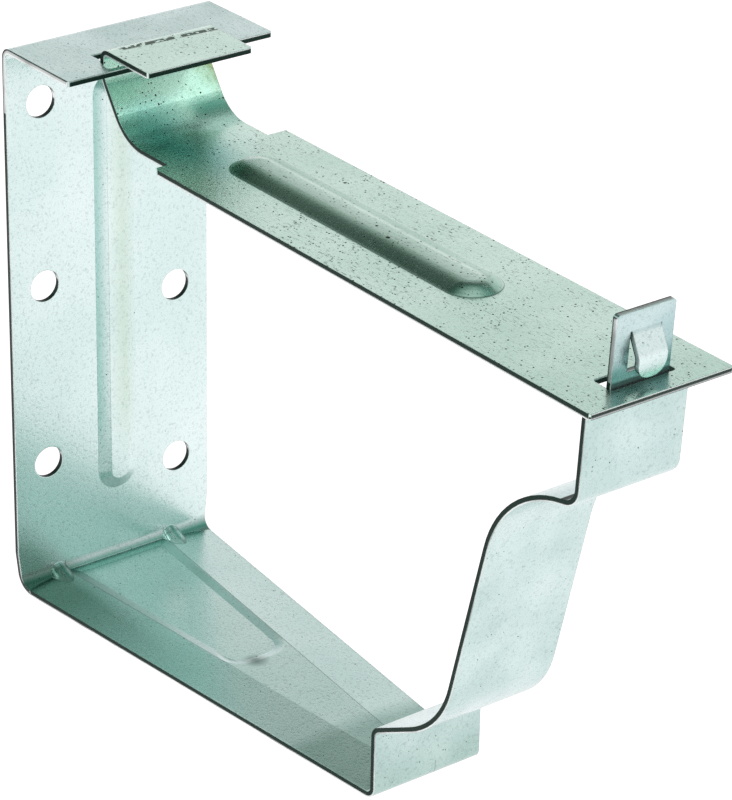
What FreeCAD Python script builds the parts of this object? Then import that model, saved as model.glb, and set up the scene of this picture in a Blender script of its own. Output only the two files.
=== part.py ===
import FreeCAD, Part
import math
import os
import Sketcher

# Gutter bracket: a folded steel cradle that is screwed to the fascia board and carries the
# gutter from below, and a steel strap that hooks into the cradle's top flange, crosses the
# gutter and drops over a locking tab at the front. Both are bent from one gauge of sheet.
# X runs out from the wall, Y across the bracket, Z up. Heights are taken from the underside
# of the cradle; the two bodies are then set down so that the origin lies on the rear face.

os.makedirs("parts", exist_ok=True)
doc = FreeCAD.newDocument("gutter_bracket")
V = FreeCAD.Vector

# Sizes in millimetres and degrees, each written once.
SIZES = (
    ("gauge", 0.9, "thickness of the sheet, both pieces"),
    ("plate_width", 38.1, "width of the back plate and the top flange"),
    ("height", 96.2, "underside of the cradle to the top of its flange"),
    ("datum_height", 10.0, "origin above the underside, on the rear face"),
    ("flange_depth", 18.9, "rear face to the flange's front edge"),
    ("top_bend", 1.1, "inside radius of the top bend"),
    ("foot_bend", 2.1, "inside radius of the bottom bend"),
    ("rise_x", 85.06, "rear face to the gutter side of the front rise"),
    ("rise_bend", 1.0, "inside radius at the foot of the rise"),
    ("rise_top", 12.36, "height where the rise meets the slanted shelf"),
    ("shelf_bend", 2.2, "radius from the rise into the shelf"),
    ("cove_x", 100.19, "rear face to the corner of shelf and front wall"),
    ("cove_top", 20.06, "height of that corner"),
    ("cove_bend", 16.0, "radius from the shelf into the front wall"),
    ("brow_x", 111.52, "rear face to the corner of front wall and ledge"),
    ("brow_drop", 30.83, "flange down to that corner"),
    ("brow_bend", 18.8, "radius from the front wall into the ledge"),
    ("trough_x", 126.27, "rear face to the corner of ledge and lip"),
    ("trough_drop", 28.5, "flange down to that corner"),
    ("trough_bend", 2.5, "radius from the ledge into the lip"),
    ("tab_x", 127.92, "rear face to the back of the locking tab at its top"),
    ("tab_drop", 1.0, "flange down to the top of the locking tab"),
    ("tab_width", 10.3, "width of the locking tab"),
    ("seat_gap", 0.02, "clearance between the strap and the lip's shoulders"),
    ("taper_top", 7.0, "height at which the plate begins to narrow"),
    ("taper_bend", 0.76, "inset of each edge where the strip leaves the bottom bend"),
    ("rise_width", 20.2, "width of the strip at the front rise"),
    ("lip_width", 18.0, "width of the strip at the lip"),
    ("column_pitch", 25.4, "between the two columns of holes"),
    ("hole_pitch", 31.75, "between holes in a column"),
    ("hole_stagger", 6.35, "the far column sits lower by this"),
    ("hole_base", 15.95, "height of the lowest hole"),
    ("hole_width", 5.4, "diameter of the holes"),
    ("hole_count", 3, "holes in a column"),
    ("plate_rib_base", 13.7, "height of the lower end of the plate's rib"),
    ("plate_rib_length", 74.5, "length of the plate's rib"),
    ("plate_rib_width", 7.6, "width of the plate's rib at its foot"),
    ("plate_rib_side", 0.85, "rib's centre line off the plate's"),
    ("rib_rise", 0.9, "how far the plate's rib stands proud"),
    ("rib_slope", 66.0, "slope of its flanks from square to the sheet"),
    ("gate_back", 11.4, "rear face to the back edge of the flange opening"),
    ("bridge_width", 1.0, "strip of the flange left in front of the opening"),
    ("gate_flare", 13.4, "where the opening begins to widen"),
    ("gate_flare_end", 0.9, "its widest place, short of its front edge"),
    ("gate_width_back", 20.0, "width of the opening at the back"),
    ("gate_width_front", 22.2, "width of the opening at the front"),
    ("gate_corner", 1.2, "radius of the opening's front corners"),
    ("window_width", 5.5, "width of the window in the locking tab"),
    ("window_drop", 4.05, "flange down to the window's top, where the tongue begins"),
    ("window_height", 6.0, "height of the window"),
    ("window_side", 0.2, "window's centre line off the cradle's"),
    ("tongue_reach", 1.8, "how far the tongue stands out in front of the tab"),
    ("tongue_knee", 3.7, "tongue's root down to its knee"),
    ("tongue_tip", 6.6, "tongue's root down to its rounded tip"),
    ("tongue_width", 5.0, "width of the tongue"),
    ("tongue_bend", 1.2, "inside radius of the tongue's knee"),
    ("tongue_root_bend", 1.3, "radius where the tongue leaves the tab"),
    ("tongue_round", 2.2, "radius of the corners of its tip"),
    ("crown_rise", 0.5, "how far the bottom strip is raised along its middle"),
    ("crown_side", 8.3, "width of the sloping band along each edge"),
    ("crown_margin", 0.25, "flat left at the very edge"),
    ("panel_start", 1.4, "rear face to the back of the sunk panel"),
    ("panel_end", 44.1, "rear face to its front"),
    ("panel_back", 9.7, "panel's half width at the back"),
    ("panel_front", 5.7, "panel's half width at the front"),
    ("panel_depth", 0.3, "how deep the panel is sunk"),
    ("panel_slope", 79.0, "slope of its sides from square to the sheet"),
    ("panel_corner", 4.5, "radius of its front corners"),
    ("dart_side", 11.3, "each gusset bead off the centre line"),
    ("dart_radius", 2.0, "radius of a bead across its length"),
    ("dart_back", 0.4, "rear face to a bead's rear centre"),
    ("dart_back_height", 1.05, "height of that centre"),
    ("dart_reach", 5.8, "rear face to a bead's front centre"),
    ("dart_sink", 0.95, "depth of that centre under the underside"),
    ("dart_hollow", 1.3, "width of the dent behind a bead"),
    ("dart_dent_top", 3.2, "height where the dent starts on the plate"),
    ("dart_dent_reach", 5.0, "rear face to where the dent ends"),
    ("hook_end", 26.5, "rear face to the front of the hook"),
    ("hook_front", 0.8, "flange up to the hook's underside at its front"),
    ("hook_back", 1.0, "flange up to the hook's underside at the fold"),
    ("hook_bend", 1.0, "inside radius of the hook's fold"),
    ("neck_x", 14.5, "rear face to the front of the neck"),
    ("neck_knee", 2.6, "flange down to where the neck begins to slant"),
    ("neck_knee_bend", 4.0, "radius at that knee"),
    ("neck_foot_x", 20.6, "rear face to the neck's foot"),
    ("strap_back", 11.32, "flange down to the strap's top at the neck's foot"),
    ("strap_front", 12.0, "flange down to the strap's top at its front end"),
    ("neck_foot_bend", 8.0, "radius from the neck into the strap"),
    ("strap_end", 132.2, "rear face to the strap's front end"),
    ("neck_width", 19.5, "width of the neck and the hook"),
    ("strap_width", 25.4, "width of the strap"),
    ("strap_side", 0.5, "strap's centre line off the neck's"),
    ("shoulder_left", 31.7, "rear face to the strap's left shoulder"),
    ("shoulder_right", 30.6, "rear face to the strap's right shoulder"),
    ("shoulder_cut", 0.9, "length of the cut corner on the left shoulder"),
    ("slot_back", 124.5, "rear face to the back of the strap's slot"),
    ("slot_front", 128.5, "rear face to its front"),
    ("slot_width", 11.4, "width of the strap's slot"),
    ("strap_rib_start", 36.3, "rear face to the back of the strap's rib"),
    ("strap_rib_end", 96.3, "rear face to its front"),
    ("strap_rib_width", 9.5, "width of the strap's rib at its foot"),
    ("strap_rib_rise", 1.2, "how far it stands proud"),
    ("strap_rib_slope", 62.0, "slope of its flanks from square to the sheet"),
    ("strap_rib_crest", 5.0, "rounding along its crest"),
    ("strap_rib_side", 0.8, "strap rib's centre line off the cradle's"),
    ("edge_round", 0.5, "small rounded corners of the blanks"),
)
sheet = doc.addObject("Spreadsheet::Sheet", "Sizes")
for row, (alias, value, note) in enumerate(SIZES, start=1):
    sheet.set(f"A{row}", note)
    sheet.set(f"B{row}", str(value))
    sheet.setAlias(f"B{row}", alias)
doc.recompute()


def named(text):
    """An expression with every size it names turned into a cell of the sheet."""
    words = text.replace("(", " ( ").replace(")", " ) ").split()
    aliases = {alias for alias, value, note in SIZES}
    joined = " ".join("Sizes." + word if word in aliases else word for word in words)
    return joined.replace("atan (", "atan(")


def value_of(text):
    """What an expression comes to with the sheet as it stands."""
    return float(sheet.evalExpression(named(text)))


def new_body(label):
    body = doc.addObject("PartDesign::Body", label)
    body.Label = label
    body.setExpression("Placement.Base.z", named("0 - datum_height"))
    return body


def new_sketch(body, role, label, lift=None):
    """A sketch on one of the body's own planes, lifted off it by an expression."""
    plane = next(item for item in body.Origin.OriginFeatures if item.Role == role)
    sketch = body.newObject("Sketcher::SketchObject", label)
    sketch.AttachmentSupport = (plane, [""])
    sketch.MapMode = "FlatFace"
    if lift:
        sketch.setExpression("AttachmentOffset.Base.z", named(lift))
    return sketch


def hold(sketch, kind, *where, size):
    """A dimension bound to the sheet."""
    index = sketch.addConstraint(Sketcher.Constraint(kind, *where, value_of(size)))
    sketch.setExpression(f"Constraints[{index}]", named(size))


def pin_point(sketch, geometry, end, x, y):
    """A point fixed at two bound distances from the sketch's origin."""
    for kind, size in (("DistanceX", x), ("DistanceY", y)):
        if size == "0":
            axis = -2 if kind == "DistanceX" else -1
            sketch.addConstraint(Sketcher.Constraint("PointOnObject", geometry, end, axis))
        else:
            hold(sketch, kind, -1, 1, geometry, end, size=size)


def draw_outline(sketch, corners, rounds=None):
    """A closed outline through bound corners; rounds gives some corners a bound radius."""
    rounds = rounds or {}
    points = [V(value_of(x), value_of(y), 0) for x, y in corners]
    count = len(points)
    radii = [value_of(rounds[i]) if i in rounds else 0.0 for i in range(count)]
    ahead = [(points[(i + 1) % count] - points[i]).normalize() for i in range(count)]
    turn = [ahead[i - 1].cross(ahead[i]).z for i in range(count)]
    reach = [
        radii[i] * math.tan(ahead[i - 1].getAngle(ahead[i]) / 2) if radii[i] else 0.0
        for i in range(count)
    ]
    lines = []
    for i in range(count):
        start = points[i] + ahead[i] * reach[i]
        end = points[(i + 1) % count] - ahead[i] * reach[(i + 1) % count]
        lines.append(sketch.addGeometry(Part.LineSegment(start, end)))
    for i, (x, y) in enumerate(corners):
        before, after = lines[i - 1], lines[i]
        if not radii[i]:
            sketch.addConstraint(Sketcher.Constraint("Coincident", before, 2, after, 1))
            pin_point(sketch, after, 1, x, y)
            continue
        mark = sketch.addGeometry(Part.Point(points[i]), True)
        pin_point(sketch, mark, 1, x, y)
        sketch.addConstraint(Sketcher.Constraint("PointOnObject", mark, 1, before))
        sketch.addConstraint(Sketcher.Constraint("PointOnObject", mark, 1, after))
        add_arc(sketch, points[i] - ahead[i - 1] * reach[i], ahead[i - 1], ahead[i],
                turn[i], radii[i], before, after, size=rounds[i])


def add_arc(sketch, start, heading, leaving, turn, radius, before, after, size=None):
    """A tangent arc from one line into the next, turning left or right."""
    left = turn > 0
    side = V(-heading.y, heading.x, 0) * (1 if left else -1)
    centre = start + side * radius
    out = V(-leaving.y, leaving.x, 0) * (-1 if left else 1)
    first = math.atan2(-side.y, -side.x)
    last = math.atan2(out.y, out.x)
    low, high = (first, last) if left else (last, first)
    while high < low:
        high += 2 * math.pi
    circle = Part.Circle(centre, V(0, 0, 1), radius)
    arc = sketch.addGeometry(Part.ArcOfCircle(circle, low, high))
    near, far = (1, 2) if left else (2, 1)
    sketch.addConstraint(Sketcher.Constraint("Tangent", before, 2, arc, near))
    sketch.addConstraint(Sketcher.Constraint("Tangent", arc, far, after, 1))
    if size:
        hold(sketch, "Radius", arc, size=size)
    return arc


def draw_folded(sketch, corners, bends):
    """The edge-on outline of a bent sheet, one gauge thick to the right of a line of corners."""
    points = [V(value_of(x), value_of(y), 0) for x, y in corners]
    radii = [0.0] + [value_of(bend) for bend in bends] + [0.0]
    gauge = value_of("gauge")
    ahead = [(b - a).normalize() for a, b in zip(points, points[1:])]
    right = [V(way.y, -way.x, 0) * gauge for way in ahead]
    angle = [0.0] + [a.getAngle(b) for a, b in zip(ahead, ahead[1:])] + [0.0]
    reach = [radius * math.tan(bent / 2) for radius, bent in zip(radii, angle)]
    face, back, guide = [], [], []
    for i, way in enumerate(ahead):
        start = points[i] + way * reach[i]
        end = points[i + 1] - way * reach[i + 1]
        guide.append(sketch.addGeometry(Part.LineSegment(points[i], points[i + 1]), True))
        face.append(sketch.addGeometry(Part.LineSegment(start, end)))
        back.append(sketch.addGeometry(Part.LineSegment(start + right[i], end + right[i])))
    for i, (x, y) in enumerate(corners[:-1]):
        pin_point(sketch, guide[i], 1, x, y)
    pin_point(sketch, guide[-1], 2, *corners[-1])
    for i in range(len(ahead)):
        if i:
            sketch.addConstraint(Sketcher.Constraint("Coincident", guide[i - 1], 2, guide[i], 1))
            turn = ahead[i - 1].cross(ahead[i]).z
            start = points[i] - ahead[i - 1] * reach[i]
            inner = add_arc(sketch, start, ahead[i - 1], ahead[i], turn, radii[i],
                            face[i - 1], face[i], size=bends[i - 1])
            growth = 1 if turn > 0 else -1
            outer = add_arc(sketch, start + right[i - 1], ahead[i - 1], ahead[i], turn,
                            radii[i] + growth * gauge, back[i - 1], back[i])
            sketch.addConstraint(Sketcher.Constraint("Coincident", inner, 3, outer, 3))
            sign = "+" if growth > 0 else "-"
            hold(sketch, "Radius", outer, size=f"{bends[i - 1]} {sign} gauge")
            sketch.addConstraint(Sketcher.Constraint("PointOnObject", face[i], 1, guide[i]))
            sketch.addConstraint(Sketcher.Constraint("PointOnObject", face[i - 1], 2, guide[i - 1]))
    for end, index in ((1, 0), (2, -1)):
        sketch.addConstraint(Sketcher.Constraint("Coincident", face[index], end, guide[index], end))
        a = points[0] if end == 1 else points[-1]
        cap = sketch.addGeometry(Part.LineSegment(a, a + right[index]))
        sketch.addConstraint(Sketcher.Constraint("Coincident", cap, 1, face[index], end))
        sketch.addConstraint(Sketcher.Constraint("Coincident", cap, 2, back[index], end))
        sketch.addConstraint(Sketcher.Constraint("Perpendicular", cap, face[index]))
        sketch.addConstraint(Sketcher.Constraint("Parallel", back[index], face[index]))
    return sketch


# Cradle: one strip of galvanised sheet folded into flange, back plate, bottom, front and lip.
cradle = new_body("cradle")
side_view = new_sketch(cradle, "XZ_Plane", "cradle_side")
draw_folded(
    side_view,
    (
        ("flange_depth", "height - gauge"),
        ("gauge", "height - gauge"),
        ("gauge", "gauge"),
        ("rise_x", "gauge"),
        ("rise_x", "rise_top"),
        ("cove_x", "cove_top"),
        ("brow_x", "height - brow_drop"),
        ("trough_x", "height - trough_drop"),
        ("tab_x", "height - tab_drop"),
    ),
    ("top_bend", "foot_bend", "rise_bend", "shelf_bend", "cove_bend", "brow_bend", "trough_bend"),
)
doc.recompute()


def add_feature(body, kind, label, sketch, length, symmetric=False, reverse=False, slope=None):
    """A pad or a pocket whose length, and slope if it has one, are bound to the sheet."""
    feature = body.newObject(f"PartDesign::{kind}", label)
    feature.Profile = sketch
    feature.SideType = "Symmetric" if symmetric else "One side"
    feature.Reversed = reverse
    feature.setExpression("Length", named(length))
    if slope:
        feature.setExpression("TaperAngle", named(slope))
    doc.recompute()
    return feature


def round_edges(body, label, chosen, radius):
    """A fillet with a bound radius on those edges of the body that a test picks."""
    base = body.Tip
    names = [f"Edge{i}" for i, line in enumerate(base.Shape.Edges, start=1) if chosen(line)]
    fillet = body.newObject("PartDesign::Fillet", label)
    fillet.Base = (base, names)
    fillet.setExpression("Radius", named(radius))
    doc.recompute()
    return fillet


def runs_along(line, x, y, z):
    """Whether an edge is straight and lies within a few degrees of a direction."""
    if not isinstance(line.Curve, Part.Line):
        return False
    return abs(line.tangentAt(line.FirstParameter).dot(V(x, y, z).normalize())) > 0.98


def mirrored(corners):
    """The same outline on the other side of the sketch's X axis."""
    return [(x, f"0 - ( {y} )") for x, y in reversed(corners)]


def opposite(corners):
    """The same outline on the other side of the sketch's Y axis."""
    return [(f"0 - ( {x} )", y) for x, y in reversed(corners)]


add_feature(cradle, "Pad", "cradle_strip", side_view, "plate_width", symmetric=True)

# The strip narrows in a straight taper from the foot of the plate to the lip.
foot = new_sketch(cradle, "YZ_Plane", "cradle_foot_taper")
beside_foot = [
    ("plate_width / 2", "taper_top"),
    ("plate_width / 2 - taper_bend", "0"),
    ("plate_width / 2 - taper_bend", "0 - 2"),
    ("plate_width / 2 + 5", "0 - 2"),
    ("plate_width / 2 + 5", "taper_top"),
]
draw_outline(foot, beside_foot)
draw_outline(foot, opposite(beside_foot))
add_feature(cradle, "Pocket", "cradle_foot_cut", foot, "2 * ( foot_bend + gauge )", symmetric=True)
plan = new_sketch(cradle, "XY_Plane", "cradle_plan_taper")
edge = [
    ("foot_bend + gauge", "plate_width / 2 + 5"),
    ("foot_bend + gauge", "plate_width / 2 - taper_bend"),
    ("rise_x + gauge", "rise_width / 2"),
    ("trough_x", "lip_width / 2"),
    ("trough_x + 20", "lip_width / 2"),
    ("trough_x + 20", "plate_width / 2 + 5"),
]
draw_outline(plan, edge)
draw_outline(plan, mirrored(edge))
add_feature(cradle, "Pocket", "cradle_plan_cut", plan, "height - gauge - 0.1", reverse=True)

fall = "( strap_front - strap_back ) / ( strap_end - neck_foot_x )"
lip_top = f"height - strap_front - gauge - seat_gap + ( strap_end - trough_x - 2 * gauge ) * {fall}"
# The lip is cut down to two shoulders that carry the strap, with the locking tab between them.
shoulders = new_sketch(cradle, "YZ_Plane", "cradle_shoulders", lift="trough_x - 3")
beside_tab = [
    ("tab_width / 2", lip_top),
    ("plate_width / 2", lip_top),
    ("plate_width / 2", "height"),
    ("tab_width / 2", "height"),
]
draw_outline(shoulders, beside_tab)
draw_outline(shoulders, opposite(beside_tab))
add_feature(cradle, "Pocket", "cradle_shoulder_cut", shoulders, "20", reverse=True)

# Two staggered columns of round holes for screws or nails.
holes = new_sketch(cradle, "YZ_Plane", "cradle_holes")
for column, drop in (("0 - column_pitch / 2", "hole_base + hole_stagger"), ("column_pitch / 2", "hole_base")):
    centre = V(value_of(column), value_of(drop), 0)
    circle = holes.addGeometry(Part.Circle(centre, V(0, 0, 1), value_of("hole_width / 2")))
    pin_point(holes, circle, 3, column, drop)
    hold(holes, "Diameter", circle, size="hole_width")
lowest = add_feature(cradle, "Pocket", "cradle_lowest_holes", holes, "4 * gauge", symmetric=True)
rows = cradle.newObject("PartDesign::LinearPattern", "cradle_hole_rows")
rows.Originals = [lowest]
rows.Direction = (holes, ["V_Axis"])
rows.setExpression("Length", named("hole_pitch * ( hole_count - 1 )"))
rows.setExpression("Occurrences", named("hole_count"))
cradle.Tip = rows
doc.recompute()

# The opening in the flange that the strap's neck passes through, with a narrow bridge in front.
gate = new_sketch(cradle, "XY_Plane", "cradle_gate", lift="height - gauge / 2")
half = [
    ("gate_back", "gate_width_back / 2"),
    ("gate_flare", "gate_width_back / 2"),
    ("flange_depth - bridge_width - gate_flare_end", "gate_width_front / 2"),
    ("flange_depth - bridge_width", "gate_width_front / 2"),
]
gate_corners = half + mirrored(half)
draw_outline(gate, gate_corners, {3: "gate_corner * 0.7", 4: "gate_corner * 0.7"})
add_feature(cradle, "Pocket", "cradle_gate_cut", gate, "3 * gauge", symmetric=True)

# A window in the locking tab, and the spring tongue lanced out of it over the strap.
window = new_sketch(cradle, "YZ_Plane", "cradle_window", lift="trough_x - 3")
left_side, right_side = "window_side - window_width / 2", "window_side + window_width / 2"
root_height = "height - window_drop"
draw_outline(window, (
    (left_side, f"{root_height} - window_height"), (right_side, f"{root_height} - window_height"),
    (right_side, root_height), (left_side, root_height),
))
add_feature(cradle, "Pocket", "cradle_window_cut", window, "20", reverse=True)
lean = "( tab_x - trough_x ) / ( trough_drop - tab_drop )"
root = f"trough_x + ( trough_drop - window_drop ) * {lean}"
above_root = f"trough_x + ( trough_drop - window_drop + 1.4 ) * {lean}"
tongue = new_sketch(cradle, "XZ_Plane", "cradle_tongue", lift="0 - window_side")
draw_folded(
    tongue,
    (
        (f"{root} + tongue_reach - gauge / 2", f"{root_height} - tongue_tip"),
        (f"{root} + tongue_reach", f"{root_height} - tongue_knee"),
        (root, root_height),
        (above_root, f"{root_height} + 1.4"),
    ),
    ("tongue_bend", "tongue_root_bend"),
)
add_feature(cradle, "Pad", "cradle_tongue_strip", tongue, "tongue_width", symmetric=True)
round_edges(
    cradle, "cradle_tongue_tip",
    lambda line: runs_along(line, 1, 0, 0)
    and abs(line.CenterOfMass.z - value_of("height - window_drop - tongue_tip")) < 0.3
    and line.CenterOfMass.x > value_of("trough_x"),
    "tongue_round",
)
round_edges(
    cradle, "cradle_tab_corners",
    lambda line: runs_along(line, 1, 0, 0)
    and abs(line.CenterOfMass.z - value_of("height - tab_drop")) < 0.2
    and line.CenterOfMass.x > value_of("trough_x"),
    "edge_round",
)
round_edges(
    cradle, "cradle_flange_corners",
    lambda line: runs_along(line, 0, 0, 1)
    and abs(line.CenterOfMass.x - value_of("flange_depth")) < 0.01,
    "edge_round",
)

# The bottom strip is crowned: its middle is raised and a band along each edge slopes away.
narrowing = "( plate_width / 2 - taper_bend - rise_width / 2 ) / ( rise_x - foot_bend )"
strip_edge = "plate_width / 2 - taper_bend - crown_margin"
crown_outline = [
    ("0 - crown_side - gauge", f"{strip_edge} + ( foot_bend + crown_side + 2 * gauge ) * {narrowing}"),
    ("rise_x - rise_bend", f"{strip_edge} - ( rise_x - rise_bend - foot_bend - gauge ) * {narrowing}"),
]
crown_outline += mirrored(crown_outline)
bands = "atan( 0 - crown_side / crown_rise )"
raised = new_sketch(cradle, "XY_Plane", "cradle_crown", lift="gauge")
draw_outline(raised, crown_outline)
add_feature(cradle, "Pad", "cradle_crown_raised", raised, "crown_rise", slope=bands)
hollow = new_sketch(cradle, "XY_Plane", "cradle_crown_under")
draw_outline(hollow, crown_outline)
add_feature(cradle, "Pocket", "cradle_crown_hollow", hollow, "crown_rise", reverse=True, slope=bands)

# A long rib pressed forward out of the plate, hollow behind.
rib_low, rib_high = "plate_rib_base", "plate_rib_base + plate_rib_length"


def draw_rib(sketch, low, high, side, width):
    """A long shape with round ends, along the sketch's own longer way."""
    draw_outline(sketch, (
        (low, f"{side} - {width} / 2"), (high, f"{side} - {width} / 2"),
        (high, f"{side} + {width} / 2"), (low, f"{side} + {width} / 2"),
    ), {i: f"{width} / 2 - 0.04" for i in range(4)})


def draw_upright_rib(sketch, low, high, side, width):
    draw_outline(sketch, (
        (f"{side} - {width} / 2", low), (f"{side} + {width} / 2", low),
        (f"{side} + {width} / 2", high), (f"{side} - {width} / 2", high),
    ), {i: f"{width} / 2 - 0.04" for i in range(4)})


crest = new_sketch(cradle, "YZ_Plane", "cradle_rib", lift="gauge")
draw_upright_rib(crest, rib_low, rib_high, "plate_rib_side", "plate_rib_width")
add_feature(cradle, "Pad", "cradle_rib_crest", crest, "rib_rise", slope="0 - rib_slope")
trench = new_sketch(cradle, "YZ_Plane", "cradle_rib_back")
draw_upright_rib(trench, rib_low, rib_high, "plate_rib_side", "( plate_rib_width - 0.4 * gauge )")
add_feature(cradle, "Pocket", "cradle_rib_hollow", trench, "rib_rise", reverse=True, slope="0 - rib_slope")

# A shallow panel pressed down along the middle of the bottom strip.
panel = [("panel_start", "panel_back"), ("panel_end", "panel_front")]
panel += mirrored(panel)
panel_rounds = {0: "edge_round", 1: "panel_corner", 2: "panel_corner", 3: "edge_round"}
sunk = new_sketch(cradle, "XY_Plane", "cradle_panel", lift="crown_rise + gauge")
draw_outline(sunk, panel, panel_rounds)
add_feature(cradle, "Pocket", "cradle_panel_sunk", sunk, "panel_depth", slope="0 - panel_slope")
under = new_sketch(cradle, "XY_Plane", "cradle_panel_under", lift="crown_rise")
draw_outline(under, panel, panel_rounds)
add_feature(cradle, "Pad", "cradle_panel_proud", under, "panel_depth", reverse=True, slope="0 - panel_slope")

# Two rounded gusset beads pressed into the bottom bend, dented from outside.
dart_ends = (("back", "dart_back", "dart_back_height"), ("front", "dart_reach", "0 - dart_sink"))
for name, lift in (("left", "dart_side"), ("right", "0 - dart_side")):
    route = new_sketch(cradle, "XZ_Plane", f"cradle_dart_{name}_route", lift=lift)
    start, finish = [V(value_of(x), value_of(z), 0) for end, x, z in dart_ends]
    run = route.addGeometry(Part.LineSegment(start, finish))
    pin_point(route, run, 1, "dart_back", "dart_back_height")
    pin_point(route, run, 2, "dart_reach", "0 - dart_sink")
    ring = new_sketch(cradle, "YZ_Plane", f"cradle_dart_{name}_ring", lift="dart_back")
    middle = V(value_of(f"0 - ( {lift} )"), value_of("dart_back_height"), 0)
    circle = ring.addGeometry(Part.Circle(middle, V(0, 0, 1), value_of("dart_radius")))
    pin_point(ring, circle, 3, f"0 - ( {lift} )", "dart_back_height")
    hold(ring, "Radius", circle, size="dart_radius")
    doc.recompute()
    bead = cradle.newObject("PartDesign::AdditivePipe", f"cradle_dart_{name}")
    bead.Profile = ring
    bead.Spine = (route, ["Edge1"])
    doc.recompute()
    for end, x, z in dart_ends:
        ball = cradle.newObject("PartDesign::AdditiveSphere", f"cradle_dart_{name}_{end}")
        ball.AttachmentSupport = route.AttachmentSupport
        ball.MapMode = "FlatFace"
        ball.setExpression("Radius", named("dart_radius"))
        ball.setExpression("AttachmentOffset.Base.x", named(x))
        ball.setExpression("AttachmentOffset.Base.y", named(z))
        ball.setExpression("AttachmentOffset.Base.z", named(lift))
        doc.recompute()
    dent = new_sketch(cradle, "XZ_Plane", f"cradle_dent_{name}", lift=lift)
    draw_outline(dent, (
        ("0 - gauge", "dart_dent_top"), ("0 - gauge", "0 - gauge"), ("dart_dent_reach", "0 - gauge"),
    ))
    add_feature(cradle, "Pocket", f"cradle_dent_{name}_cut", dent, "dart_hollow", symmetric=True)
outside = new_sketch(cradle, "XZ_Plane", "cradle_outside")
draw_outline(outside, (
    ("0 - 3 * crown_side", "0 - 2 * dart_radius"), ("dart_reach + 2 * dart_radius", "0 - 2 * dart_radius"),
    ("dart_reach + 2 * dart_radius", "0"), ("0", "0"), ("0", "dart_back_height + 2 * dart_radius"),
    ("0 - 3 * crown_side", "dart_back_height + 2 * dart_radius"),
), {3: "foot_bend + gauge"})
add_feature(cradle, "Pocket", "cradle_outside_trim", outside, "2 * plate_width", symmetric=True)

# Strap: one strip folded into hook, neck and strap, hooked through the flange.
strap = new_body("strap")
strap_view = new_sketch(strap, "XZ_Plane", "strap_side_view", lift="0 - strap_side")
draw_folded(
    strap_view,
    (
        ("hook_end", "height + hook_front"),
        ("neck_x", "height + hook_back"),
        ("neck_x", "height - neck_knee"),
        ("neck_foot_x", "height - strap_back"),
        ("strap_end", "height - strap_front"),
    ),
    ("hook_bend", "neck_knee_bend", "neck_foot_bend"),
)
add_feature(strap, "Pad", "strap_strip", strap_view, "strap_width", symmetric=True)
blank = new_sketch(strap, "XY_Plane", "strap_blank")
low_edge = "strap_side - strap_width / 2"
draw_outline(blank, (
    ("neck_x - 10", "0 - neck_width / 2"),
    ("neck_x - 10", "0 - strap_width"),
    ("shoulder_left + shoulder_cut", "0 - strap_width"),
    ("shoulder_left + shoulder_cut", low_edge),
    ("shoulder_left", f"{low_edge} + shoulder_cut / 2"),
    ("shoulder_left", "0 - neck_width / 2"),
))
draw_outline(blank, (
    ("neck_x - 10", "neck_width / 2"),
    ("shoulder_right", "neck_width / 2"),
    ("shoulder_right", "strap_width"),
    ("neck_x - 10", "strap_width"),
))
add_feature(strap, "Pocket", "strap_blank_cut", blank, "4 * height", symmetric=True)
slot = new_sketch(strap, "XY_Plane", "strap_slot")
slot_low, slot_high = "strap_side - slot_width / 2", "strap_side + slot_width / 2"
draw_outline(slot, (
    ("slot_back", slot_low), ("slot_front", slot_low), ("slot_front", slot_high), ("slot_back", slot_high),
), {i: "edge_round" for i in range(4)})
add_feature(strap, "Pocket", "strap_slot_cut", slot, "4 * height", symmetric=True)
for label, kind, lift, width, reverse in (
    ("strap_rib", "Pad", "", "strap_rib_width", False),
    ("strap_rib_back", "Pocket", "- gauge", "( strap_rib_width - 0.4 * gauge )", True),
):
    plane = f"height - strap_back + neck_foot_x * {fall} {lift}"
    sketch = new_sketch(strap, "XY_Plane", label, lift=plane)
    sketch.AttachmentOffset = FreeCAD.Placement(V(), FreeCAD.Rotation(V(0, 1, 0), 1))
    sketch.setExpression("AttachmentOffset.Rotation.Angle", named(f"atan( {fall} )"))
    doc.recompute()
    draw_rib(sketch, "strap_rib_start", "strap_rib_end", "strap_rib_side", width)
    press = add_feature(strap, kind, f"{label}_press", sketch, "strap_rib_rise", reverse=reverse,
                        slope="0 - strap_rib_slope")
    if kind == "Pad":
        crest_height = value_of(f"{plane} + strap_rib_rise")
        round_edges(
            strap, "strap_rib_round",
            lambda line: abs(line.CenterOfMass.z - crest_height + line.CenterOfMass.x * value_of(fall)) < 0.02,
            "strap_rib_crest",
        )

round_edges(
    strap, "strap_corners",
    lambda line: runs_along(line, 0, 0, 1)
    and abs(line.CenterOfMass.x - value_of("strap_end")) < 0.2,
    "edge_round",
)
round_edges(
    strap, "strap_hook_corners",
    lambda line: runs_along(line, 0, 0, 1)
    and abs(line.CenterOfMass.x - value_of("hook_end")) < 0.2,
    "edge_round",
)

for body in (cradle, strap):
    for item in body.Group + [body]:
        if "Invalid" in item.State or "Error" in item.State:
            raise RuntimeError(f"{item.Label} is not sound: {item.State} {item.getStatusString()}")
    shape = body.Shape
    if shape.isNull() or not shape.isValid() or len(shape.Solids) != 1:
        raise RuntimeError(f"{body.Label} is not one sound solid")
    shape.exportStep(f"parts/{body.Label}.step")
    print(body.Label, round(shape.Volume, 1), shape.BoundBox)
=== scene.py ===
import bpy
from mathutils import Matrix, Vector


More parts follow.
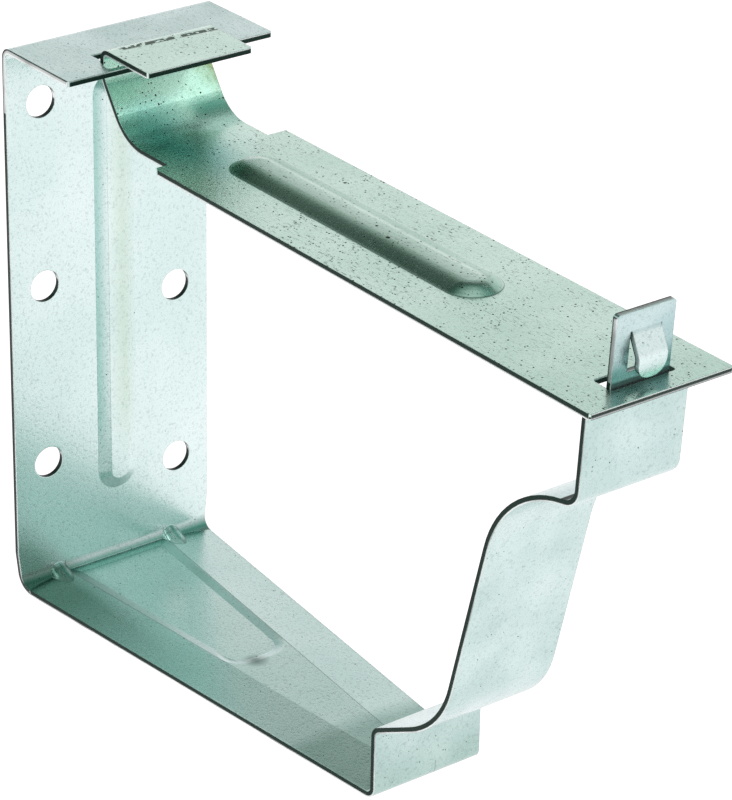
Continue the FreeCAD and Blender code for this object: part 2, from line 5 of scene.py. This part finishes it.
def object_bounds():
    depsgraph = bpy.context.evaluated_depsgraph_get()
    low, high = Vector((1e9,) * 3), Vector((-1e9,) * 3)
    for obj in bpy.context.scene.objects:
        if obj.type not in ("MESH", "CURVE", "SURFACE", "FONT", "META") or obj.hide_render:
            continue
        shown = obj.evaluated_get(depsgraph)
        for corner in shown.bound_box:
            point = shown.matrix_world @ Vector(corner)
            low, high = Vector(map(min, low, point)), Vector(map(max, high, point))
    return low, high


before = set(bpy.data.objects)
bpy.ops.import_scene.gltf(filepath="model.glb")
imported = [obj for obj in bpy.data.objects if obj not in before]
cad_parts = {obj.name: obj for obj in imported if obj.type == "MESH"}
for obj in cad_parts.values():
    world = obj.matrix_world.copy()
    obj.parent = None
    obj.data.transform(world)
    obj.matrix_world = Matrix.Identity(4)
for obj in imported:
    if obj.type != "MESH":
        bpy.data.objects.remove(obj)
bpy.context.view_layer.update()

# Viewpoint: a long lens from the front left, above the strap, with the bracket standing as it
# hangs on the fascia: back plate to the left, lip and locking tab to the right.
lens_data = bpy.data.cameras.new("viewpoint")
viewpoint = bpy.data.objects.new("viewpoint", lens_data)
bpy.context.collection.objects.link(viewpoint)
bpy.context.scene.camera = viewpoint
eye = Vector((0.44212589, -0.29070522, 0.28060857))
across = Vector((0.58777214, 0.80900275, 0.00620114))
upward = Vector((-0.35201441, 0.24883587, 0.90231179))
toward = Vector((0.72842966, -0.53253662, 0.43103942))
turn = Matrix((across, upward, toward)).transposed()
viewpoint.matrix_world = Matrix.Translation(eye) @ turn.to_4x4()
# The focal length and the shifts are in pixels of the picture, the sensor is in millimetres.
picture_width = 732
sensor_width = 36
lens_data.sensor_fit = "HORIZONTAL"
lens_data.sensor_width = sensor_width
lens_data.lens = sensor_width * 3557.255 / picture_width
lens_data.shift_x = 97.615 / picture_width
lens_data.shift_y = -45.135 / picture_width
lens_data.clip_start, lens_data.clip_end = 0.01, 20
bpy.context.scene.view_settings.view_transform = "Standard"


# Cradle: one strip of mild steel, hot-dipped in zinc, then blanked, pressed and folded round the
# gutter's section: screwed back plate, bottom, ogee front, and the lip with its locking tab.
def srgb(code):
    """A six-figure sRGB colour as linear red, green, blue and full alpha."""
    parts = [int(code[i:i + 2], 16) / 255 for i in (1, 3, 5)]
    return [p / 12.92 if p <= 0.04045 else ((p + 0.055) / 1.055) ** 2.4 for p in parts] + [1.0]


def add_node(tree, kind, *values, **settings):
    """Adds a shader node with its settings. Values fill its inputs in order, a set of them by name
    or number, and a socket or another node is linked. A MapRange node takes what it reads, the
    range read, and the range given where that isn't nought to one. In a Mix node, inputs 2 and 3
    are the two numbers and 6 and 7 the two colours."""
    node = tree.nodes.new("ShaderNode" + kind)
    for key, value in settings.items():
        setattr(node, key, value)
    slots = {}
    for i, value in enumerate(values):
        slots.update(value if isinstance(value, dict) else {i: value})
    for key, value in slots.items():
        if isinstance(value, bpy.types.Node):
            value = next(socket for socket in value.outputs if socket.enabled)
        if isinstance(value, bpy.types.NodeSocket):
            tree.links.new(value, node.inputs[key])
        else:
            node.inputs[key].default_value = value
    return node


def inside(tree, value, low, high, soft=0.00005):
    """One between two places and nought outside them, with a soft border."""
    rise = add_node(tree, "MapRange", value, low - soft, low + soft)
    fall = add_node(tree, "MapRange", value, high - soft, high + soft, 1.0, 0.0)
    return add_node(tree, "Math", rise, fall, operation="MULTIPLY")


def all_of(tree, *masks):
    """Where every one of some masks holds."""
    product = masks[0]
    for mask in masks[1:]:
        product = add_node(tree, "Math", product, mask, operation="MULTIPLY")
    return product


def any_of(tree, *masks):
    """Where at least one of some masks holds."""
    most = masks[0]
    for mask in masks[1:]:
        most = add_node(tree, "Math", most, mask, operation="MAXIMUM")
    return most


def patch(tree, place, centre, reach, soft=0.3):
    """One in a rounded patch, fading out over the soft share of its reach; all in metres."""
    offset = [-c / r for c, r in zip(centre, reach)]
    scaled = add_node(tree, "Mapping", place, {"Location": offset, "Scale": [1 / r for r in reach]})
    distance = add_node(tree, "VectorMath", scaled, operation="LENGTH")
    return add_node(tree, "MapRange", distance, 1 - soft, 1.0, 1.0, 0.0)


def films_over(tree, films):
    """White, darkened by the tone of each film where its mask holds."""
    film = srgb("#ffffff")
    for mask, code in films:
        film = add_node(tree, "Mix", mask, {6: film, 7: srgb(code)},
                        data_type="RGBA", blend_type="MULTIPLY")
    return film


# A noise of this scale has blobs 1 mm across.
blobs = 500


def galvanised_steel(name, pale, shade, grime_and_shade, grain, handled, special):
    """Zinc skin on sheet steel: pale, cool and half bright, with soft clouds, a fine mottle, pin
    marks and grime, whose colour also paints dark lines of shade. special adds what this piece
    alone shows, painted shade and highlight among it, from the place in metres, the way that the
    surface faces, and the way that a rounded edge leans."""
    material = bpy.data.materials.new(name)
    material.use_nodes = True
    tree = material.node_tree
    tree.nodes.clear()
    lookup = add_node(tree, "TexCoord")
    place = lookup.outputs["Object"]
    at = add_node(tree, "SeparateXYZ", place).outputs
    faces = add_node(tree, "SeparateXYZ", lookup.outputs["Normal"]).outputs
    # Edges rounded by 0.2 mm in the shear catch the light. A rounding of half the sheet tells the
    # two sides of a cut edge apart, so that one side can carry a painted highlight.
    rounded = add_node(tree, "Bevel", {"Radius": 0.0002}, samples=6)
    half_sheet = add_node(tree, "Bevel", {"Radius": 0.00045}, samples=8)
    leaning = add_node(tree, "SeparateXYZ", half_sheet).outputs
    own = special(tree, place, at, faces, leaning)
    # Clouds some 12 mm across, from the way the zinc froze.
    cloud = add_node(tree, "TexNoise", place,
                     {"Scale": blobs / 12, "Detail": 3.0, "Roughness": 0.55})
    cloud = add_node(tree, "MapRange", cloud, 0.36, 0.62)
    tone = add_node(tree, "Mix", cloud, {6: srgb(shade), 7: srgb(pale)}, data_type="RGBA")
    # Mottle of 0.26 mm grains, darker between them.
    mottle = add_node(tree, "TexNoise", place,
                      {"Scale": blobs / 0.26, "Detail": 3.0, "Roughness": 0.7})
    grit = add_node(tree, "MapRange", mottle, 0.32, 0.48, grain, 0.0)
    # Pin marks of 0.1 to 0.4 mm, one at most in each cell of 0.5 mm, thick in the drifts of grime
    # and rare elsewhere. A more handled piece has more of them, and larger ones.
    patches = add_node(tree, "TexNoise", place,
                       {"Scale": blobs / 4, "Detail": 4.0, "Roughness": 0.65})
    drift = any_of(tree, add_node(tree, "MapRange", patches, 0.45, 0.66), own["dirty"])
    pins = add_node(tree, "TexVoronoi", place, {"Scale": 1 / 0.0005})
    pick = add_node(tree, "SeparateColor", pins.outputs["Color"]).outputs
    rare, thick = 0.01 + 0.08 * handled, 0.05 + 0.50 * handled
    share = add_node(tree, "MapRange", drift, 0.0, 1.0, rare, thick)
    chosen = add_node(tree, "Math", pick["Red"], share, operation="LESS_THAN")
    small, large = 0.10, 0.25 + 0.15 * handled
    size = add_node(tree, "MapRange", pick["Green"], 0.0, 1.0, small, large)
    depth = add_node(tree, "Math", size, pins, operation="SUBTRACT")
    dot = all_of(tree, add_node(tree, "MapRange", depth, 0.0, 0.08), chosen)
    # Rubbed streaks, 0.15 mm wide and 0.6 mm long, along the strip.
    along = add_node(tree, "Mapping", place, {"Scale": (800.0, 3600.0, 3600.0)})
    hair = add_node(tree, "TexNoise", along, {"Scale": 1.0, "Detail": 3.0, "Roughness": 0.6})
    streak = all_of(tree, add_node(tree, "MapRange", hair, 0.61, 0.66),
                    add_node(tree, "MapRange", drift, 0.0, 1.0, 0.1, 0.6),
                    0.25 + 0.75 * handled)
    mark = any_of(tree, dot, streak, grit, own["marks"])
    # The grime colour also paints each piece's lines of painted shade.
    skin = add_node(tree, "Mix", mark, {6: tone, 7: srgb(grime_and_shade)}, data_type="RGBA")
    # Then the piece's films, painted shade and a painted reflection among them, darken the skin.
    skin = add_node(tree, "Mix", 1.0, {6: skin, 7: own["film"]},
                    data_type="RGBA", blend_type="MULTIPLY")
    # Cut faces: dull torn steel, painted near black as shade too, and the burnished band that the
    # shear leaves, which is also a painted highlight.
    torn_shade_and_highlight = add_node(tree, "Mix", own["burnish_and_highlight"], {6: srgb("#1c3029"), 7: srgb("#dfe9e6")},
                    data_type="RGBA")
    colour = add_node(tree, "Mix", own["cut"], {6: skin, 7: torn_shade_and_highlight}, data_type="RGBA")
    brightest, dullest, marked, cut = 0.20, 0.30, 0.55, 0.45
    gloss = add_node(tree, "MapRange", mottle, 0.3, 0.7, brightest, dullest)
    rough = add_node(tree, "Mix", any_of(tree, mark, own["soft"]), {2: gloss, 3: marked},
                     data_type="FLOAT")
    rough = add_node(tree, "Mix", own["cut"], {2: rough, 3: cut}, data_type="FLOAT")
    # Relief: waves 0.05 mm high from the press, grains 0.01 mm high, and marks 0.02 mm deep.
    swell = add_node(tree, "TexNoise", place,
                     {"Scale": blobs / 7, "Detail": 2.0, "Roughness": 0.5})
    waves = add_node(tree, "Bump",
                     {"Strength": 1.0, "Distance": 0.00005, "Height": swell, "Normal": rounded})
    grains = add_node(tree, "Bump",
                      {"Strength": 1.0, "Distance": 0.00001, "Height": mottle, "Normal": waves})
    pits = add_node(tree, "Bump",
                    {"Strength": 1.0, "Distance": 0.00002, "Height": mark, "Normal": grains},
                    invert=True)
    metal = add_node(tree, "BsdfPrincipled", {"Base Color": colour, "Metallic": 1.0,
                                              "Roughness": rough, "Normal": pits})
    add_node(tree, "OutputMaterial", metal)
    return material


def cradle_marks(tree, place, at, faces, leaning):
    """Cut faces with a painted highlight, painted shade along the creases and on the tab, rib and
    bottom, and the places where the zinc was strained.
    """
    # Cut faces: both long edges, the walls of the screw holes, the front edge of the flange and
    # the top edge of the tab.
    side = add_node(tree, "Math", faces["Y"], operation="ABSOLUTE")
    sideways = add_node(tree, "MapRange", side, 0.85, 0.97)
    through = add_node(tree, "Math", faces["X"], operation="ABSOLUTE")
    sheet = inside(tree, at["X"], 0.00001, 0.00089, 0.00001)
    bore = all_of(tree, sheet, inside(tree, at["Z"], -0.005, 0.083),
                  add_node(tree, "MapRange", through, 0.1, 0.3, 1.0, 0.0))
    front = all_of(tree, inside(tree, at["Z"], 0.0853, 0.0862),
                   add_node(tree, "MapRange", faces["X"], 0.8, 0.95))
    top = all_of(tree, add_node(tree, "MapRange", at["X"], 0.1235, 0.1237),
                 add_node(tree, "MapRange", faces["Z"], 0.85, 0.95))
    # The punch came from the gutter's side, so the outer side of each cut is the bright one:
    # burnish and a painted highlight, with duller spots 3 mm across. The band is wider on the tab.
    outer = add_node(tree, "Math", leaning["X"], leaning["Z"], operation="SUBTRACT")
    speckle = add_node(tree, "TexNoise", place, {"Scale": blobs / 3})
    tab_edge = add_node(tree, "MapRange", at["Z"], 0.0750, 0.0752, 0.0, 0.25)
    outer = add_node(tree, "Math", outer, tab_edge)
    burnish_and_highlight = any_of(
        tree, all_of(tree, sideways, add_node(tree, "MapRange", outer, 0.12, 0.32)),
        all_of(tree, front, add_node(tree, "MapRange", leaning["Z"], 0.15, 0.35)),
        all_of(tree, top, add_node(tree, "MapRange", leaning["X"], -0.1, 0.2)))
    burnish_and_highlight = all_of(tree, burnish_and_highlight, add_node(tree, "MapRange", speckle, 0.35, 0.55, 0.6, 1.0))
    # The walls of the sunk panel are rubbed duller than the flat sheet, and the near one is painted
    # darker as shade.
    walls = all_of(tree, inside(tree, at["X"], 0.003, 0.048),
                   add_node(tree, "MapRange", at["Z"], -0.0082, -0.0086),
                   add_node(tree, "MapRange", faces["Z"], 0.99, 0.97))
    near_wall_shade = all_of(tree, walls, add_node(tree, "MapRange", faces["Y"], 0.02, 0.10))
    # Films over the skin, each a tone that darkens it. First painted shade on the tab round its
    # lanced tongue, a painted shadow at its foot, and the handled front and top.
    blotch = add_node(tree, "TexNoise", place, {"Scale": blobs / 5, "Detail": 3.0})
    blotch = add_node(tree, "MapRange", blotch, 0.35, 0.65, 0.45, 1.0)
    tab_sheet = inside(tree, at["X"], 0.1255, 0.1289, 0.0001)
    tab_shade = all_of(tree, tab_sheet, add_node(tree, "MapRange", at["Z"], 0.0735, 0.0750), blotch)
    tab_foot_shadow = all_of(tree, tab_sheet, inside(tree, at["Z"], 0.0743, 0.0775, 0.0020))
    forward_half = add_node(tree, "MapRange", at["X"], 0.066, 0.070)
    face = all_of(tree, forward_half, add_node(tree, "MapRange", at["Z"], 0.0735, 0.0725), blotch)
    low = all_of(tree, add_node(tree, "MapRange", at["Z"], 0.004, -0.006), forward_half)
    shelf = all_of(tree, add_node(tree, "MapRange", at["Z"], 0.0845, 0.0855), blotch)
    # Then painted shade on the near flank of the upright rib, and its crest and far flank, which
    # are warmer.
    gutter_side = add_node(tree, "MapRange", faces["X"], 0.0, 0.2)
    rib_height = inside(tree, at["X"], 0.0008, 0.0030)
    near_flank_shade = all_of(tree, gutter_side, inside(tree, side, 0.25, 0.60, 0.08), rib_height,
                   inside(tree, at["Z"], 0.013, 0.085, 0.005),
                   add_node(tree, "MapRange", faces["Y"], 0.1, -0.1),
                   inside(tree, at["Y"], -0.0034, -0.0019, 0.0008))
    warm = all_of(tree, gutter_side, inside(tree, at["Y"], 0.0002, 0.0034, 0.0014), rib_height,
                  inside(tree, at["Z"], 0.014, 0.085, 0.006))
    # Last painted shade on the near side of the bottom and on the fold between it and the plate.
    near_side_shade = all_of(tree, add_node(tree, "MapRange", at["Y"], -0.006, -0.012),
                       add_node(tree, "MapRange", at["X"], 0.045, 0.010),
                       add_node(tree, "MapRange", at["Z"], -0.0070, -0.0075))
    fold_shade = all_of(tree, add_node(tree, "MapRange", at["X"], 0.0024, 0.0016),
                  add_node(tree, "MapRange", at["Z"], -0.0068, -0.0078))
    film = films_over(tree, (
        (tab_shade, "#cfdcdf"), (tab_foot_shadow, "#9fb0b8"), (face, "#dde6e4"), (low, "#e3eae6"),
        (shelf, "#dbe4e2"), (near_flank_shade, "#bfddd8"), (warm, "#f0f3ea"), (near_side_shade, "#92a49a"),
        (fold_shade, "#c3cecb"), (near_wall_shade, "#c6d5d1")))
    # The two creases of the bottom start 9.9 mm off its centre line and draw in by 0.0987 mm in
    # each millimetre of its length, with a dark line of painted shade along them.
    middle = add_node(tree, "Math", at["Y"], operation="ABSOLUTE")
    aside = add_node(tree, "Math", at["X"], 0.0987, middle, operation="MULTIPLY_ADD")
    beside = any_of(tree, add_node(tree, "MapRange", at["X"], 0.048, 0.040),
                    add_node(tree, "Math", at["Y"], 0.0, operation="GREATER_THAN"))
    crease_shade = all_of(tree, inside(tree, aside, 0.00997, 0.01007, 0.00004),
                    add_node(tree, "MapRange", at["Z"], -0.0069, -0.0070), beside, 0.7)
    # A smudge at the point of the panel, a nick at the foot of the upright rib, and a painted
    # shadow where the strap sits on the tab.
    smudge = patch(tree, place, (0.0438, -0.0016, -0.0090), (0.0026, 0.0024, 0.0030), 0.8)
    smudge = all_of(tree, smudge, blotch, 0.8)
    nick = patch(tree, place, (0.0024, 0.0003, 0.0036), (0.0016, 0.0006, 0.0005), 0.6)
    nick = all_of(tree, gutter_side, nick)
    seat_shadow = all_of(tree, tab_sheet, inside(tree, at["Z"], 0.0740, 0.0751, 0.0002), 0.8)
    # The lower end of the upright rib faces down, and is rubbed dull too.
    rib_end = all_of(tree, rib_height, inside(tree, at["Z"], 0.002, 0.011),
                     add_node(tree, "MapRange", faces["Z"], -0.10, -0.25))
    # Grime lies thick on the flange only.
    flange = inside(tree, at["Z"], 0.0835, 0.088, 0.0008)
    return {"cut": any_of(tree, sideways, bore, front, top), "burnish_and_highlight": burnish_and_highlight,
            "dirty": flange, "marks": any_of(tree, crease_shade, smudge, nick, seat_shadow),
            "soft": any_of(tree, walls, rib_end), "film": film}


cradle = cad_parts["cradle"]
cradle.data.materials.clear()
cradle.data.materials.append(galvanised_steel(
    "galvanised_steel_cradle", pale="#d7eae7", shade="#cbe2de", grime_and_shade="#4d635c",
    grain=0.24, handled=0.20, special=cradle_marks))


# Strap: a second strip of the same sheet, folded into a hook and a neck, with a long pressed rib
# and a slot; it hangs through the flange and snaps over the tab. Its skin is more handled.
def strap_marks(tree, place, at, faces, leaning):
    """Cut faces with a painted highlight, the stain and the painted reflection on the neck, painted
    shade on the rib, and the smears and spots that handling left.
    """
    # Cut faces: both long edges, the front end, the end of the hook and the ends of the slot.
    side = add_node(tree, "Math", faces["Y"], operation="ABSOLUTE")
    sideways = add_node(tree, "MapRange", side, 0.85, 0.97)
    forward = add_node(tree, "MapRange", faces["X"], 0.8, 0.95)
    ends = all_of(tree, forward, add_node(tree, "MapRange", at["X"], 0.1318, 0.1320))
    hook = all_of(tree, forward, add_node(tree, "MapRange", at["Z"], 0.0865, 0.0867),
                  inside(tree, at["X"], 0.0262, 0.0290))
    through = add_node(tree, "Math", faces["X"], operation="ABSOLUTE")
    slot = all_of(tree, inside(tree, at["X"], 0.1200, 0.1312),
                  inside(tree, at["Y"], -0.0112, 0.0118))
    slot_face = all_of(tree, slot, add_node(tree, "MapRange", through, 0.8, 0.95))
    # The shear left the lower side of the long edges bright, and a bright line on top of the ends;
    # these are a painted highlight as well.
    beneath = all_of(tree, sideways, add_node(tree, "MapRange", leaning["Z"], -0.02, -0.20),
                     add_node(tree, "MapRange", slot, 0.0, 1.0, 1.0, 0.0))
    above = all_of(tree, forward, add_node(tree, "MapRange", leaning["Z"], 0.15, 0.35, 0.0, 0.9))
    bottom = all_of(tree, forward, inside(tree, leaning["Z"], -0.50, -0.05, 0.05),
                    add_node(tree, "MapRange", at["X"], 0.1310, 0.1315), 0.6)
    # Grime lies in drifts 18 mm across over the middle of the strap, and thins out to its end.
    drifts = add_node(tree, "TexNoise", place,
                      {"Scale": blobs / 18, "Detail": 3.0, "Roughness": 0.6})
    dirty = all_of(tree, add_node(tree, "MapRange", at["X"], 0.030, 0.060),
                   add_node(tree, "MapRange", at["X"], 0.100, 0.125, 1.0, 0.2),
                   add_node(tree, "MapRange", drifts, 0.40, 0.60))
    # A warm water stain at the far side of the neck, and a painted dark green reflection round its
    # foot.
    blotch = add_node(tree, "TexNoise", place, {"Scale": blobs / 4, "Detail": 3.0})
    blotch = add_node(tree, "MapRange", blotch, 0.35, 0.60)
    water = patch(tree, place, (0.0160, 0.0085, 0.0815), (0.0080, 0.0070, 0.0055), 0.6)
    water = all_of(tree, water, blotch)
    neck_foot_reflection = patch(tree, place, (0.0270, -0.0050, 0.0760), (0.0170, 0.0090, 0.0060), 0.8)
    # The rib has painted shade from its near foot to past its crest, a painted dark line round its
    # foot, and is duller down its far side.
    # lift is the height with the strap's slight fall taken out: its flat top is at 75.01 mm.
    lift = add_node(tree, "Math", at["X"], 0.0061, at["Z"], operation="MULTIPLY_ADD")
    raised = add_node(tree, "MapRange", lift, 0.07505, 0.07525)
    rib_foot_shade = all_of(tree, inside(tree, lift, 0.07504, 0.07512, 0.00003),
                  inside(tree, at["X"], 0.0355, 0.0975), 0.6)
    rib_shade = all_of(tree, raised, inside(tree, at["X"], 0.037, 0.094, 0.002),
                   add_node(tree, "MapRange", at["Y"], -0.0016, 0.0028, 1.0, 0.0))
    far_flank = all_of(tree, raised, add_node(tree, "MapRange", faces["Y"], 0.08, 0.20),
                       inside(tree, at["X"], 0.036, 0.097))
    film = films_over(tree, ((water, "#bfb795"), (neck_foot_reflection, "#70bbbe"), (rib_shade, "#a9b6af")))
    # A broken smear along the back of the hook, slightly askew, and three black spots.
    lean = add_node(tree, "Math", at["Y"], -0.052, at["X"], operation="MULTIPLY_ADD")
    broken = add_node(tree, "TexNoise", place, {"Scale": 900.0, "Detail": 2.0})
    broken = add_node(tree, "MapRange", broken, 0.44, 0.49)
    smear = all_of(tree, inside(tree, lean, 0.0158, 0.0169, 0.0002),
                   inside(tree, at["Y"], -0.0075, 0.0100, 0.0004),
                   add_node(tree, "MapRange", at["Z"], 0.0868, 0.0870), broken, 0.85)
    spots = any_of(tree, patch(tree, place, (0.0742, -0.0006, 0.0765), (0.0005, 0.0004, 0.0020)),
                   patch(tree, place, (0.0525, 0.0081, 0.0758), (0.0004, 0.0004, 0.0020)),
                   patch(tree, place, (0.0700, 0.0006, 0.0765), (0.0003, 0.0003, 0.0020)))
    return {"cut": any_of(tree, sideways, ends, hook, slot_face),
            "burnish_and_highlight": any_of(tree, beneath, above, bottom), "dirty": dirty,
            "marks": any_of(tree, smear, spots, rib_foot_shade), "soft": far_flank, "film": film}


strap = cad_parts["strap"]
strap.data.materials.clear()
strap.data.materials.append(galvanised_steel(
    "galvanised_steel_strap", pale="#d3ece2", shade="#c3e0d4", grime_and_shade="#2f3c36",
    grain=0.22, handled=0.9, special=strap_marks))

# Stage: a pale floor lit from inside as a light table is, a white surround that turns to a dim
# green ceiling, a soft lamp at the front left, and a weak one that lights the strap alone.
floor_gap = 0.0002
floor_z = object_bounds()[0].z - floor_gap
reach = 3
corners = [(x, y, floor_z) for x, y in ((-reach, -reach), (reach, -reach),
                                        (reach, reach), (-reach, reach))]
floor_mesh = bpy.data.meshes.new("floor")
floor_mesh.from_pydata(corners, [], [(0, 1, 2, 3)])
floor = bpy.data.objects.new("floor", floor_mesh)
bpy.context.collection.objects.link(floor)
table = bpy.data.materials.new("light_table")
table.use_nodes = True
tree = table.node_tree
tree.nodes.clear()
glow = add_node(tree, "BsdfPrincipled", {
    "Base Color": srgb("#7f7f7e"), "Roughness": 0.9,
    "Emission Color": srgb("#fff5f9"), "Emission Strength": 1.12})
add_node(tree, "OutputMaterial", glow)
floor_mesh.materials.append(table)

# The surround is banded by how far a direction points up, from 0 at the level to 1 overhead, with
# one set of bands over the back plate's side and another over the lip's side.
world = bpy.data.worlds.new("studio")
bpy.context.scene.world = world
world.use_nodes = True
tree = world.node_tree
tree.nodes.clear()
compass = add_node(tree, "SeparateXYZ", add_node(tree, "TexCoord")).outputs
behind = ((0.32, "#fff5f9"), (0.42, "#e6e9e7"), (0.50, "#d6dcda"), (0.58, "#b4beb9"),
          (0.67, "#3a4841"), (0.74, "#34433c"), (0.86, "#3f6a5f"), (0.95, "#b4c6c0"),
          (1.0, "#d3dcd9"))
ahead = ((0.30, "#fff5f9"), (0.38, "#c9d6d3"), (0.46, "#bccdc9"), (0.54, "#c6dfd9"),
         (0.66, "#92bdb3"), (0.78, "#62a396"), (0.88, "#4f9485"), (0.95, "#b4c6c0"),
         (1.0, "#d3dcd9"))
skies = []
for bands in (behind, ahead):
    sky = add_node(tree, "ValToRGB", compass["Z"])
    band = sky.color_ramp.elements
    band[0].position, band[0].color = bands[0][0], srgb(bands[0][1])
    band[1].position, band[1].color = bands[-1][0], srgb(bands[-1][1])
    for height, code in bands[1:-1]:
        band.new(height).color = srgb(code)
    skies.append(sky.outputs["Color"])
front = add_node(tree, "MapRange", compass["X"], -0.2, 0.4)
sky = add_node(tree, "Mix", front, {6: skies[0], 7: skies[1]}, data_type="RGBA")
surround = add_node(tree, "Background", {"Color": sky, "Strength": 1.18})
add_node(tree, "OutputWorld", surround)


def soft_box(name, place, aim, power, colour):
    """A square studio lamp pointed at a spot on the bracket."""
    data = bpy.data.lights.new(name, "AREA")
    data.shape = "SQUARE"
    data.size = 0.35
    data.energy = power
    data.color = srgb(colour)[:3]
    lamp = bpy.data.objects.new(name, data)
    bpy.context.collection.objects.link(lamp)
    lamp.location = place
    lamp.rotation_euler = (Vector(aim) - Vector(place)).to_track_quat("-Z", "Y").to_euler()
    return lamp


soft_box("key_lamp", (0.3, -0.9, 0.9), (0.06, 0, 0.03), 1.5, "#ffffff")
glint = soft_box("neck_lamp", (0.67, 0.53, 0.62), (0.018, 0, 0.08), 0.38, "#eefaf6")
strap_only = bpy.data.collections.new("strap_only")
strap_only.objects.link(strap)
glint.light_linking.receiver_collection = strap_only
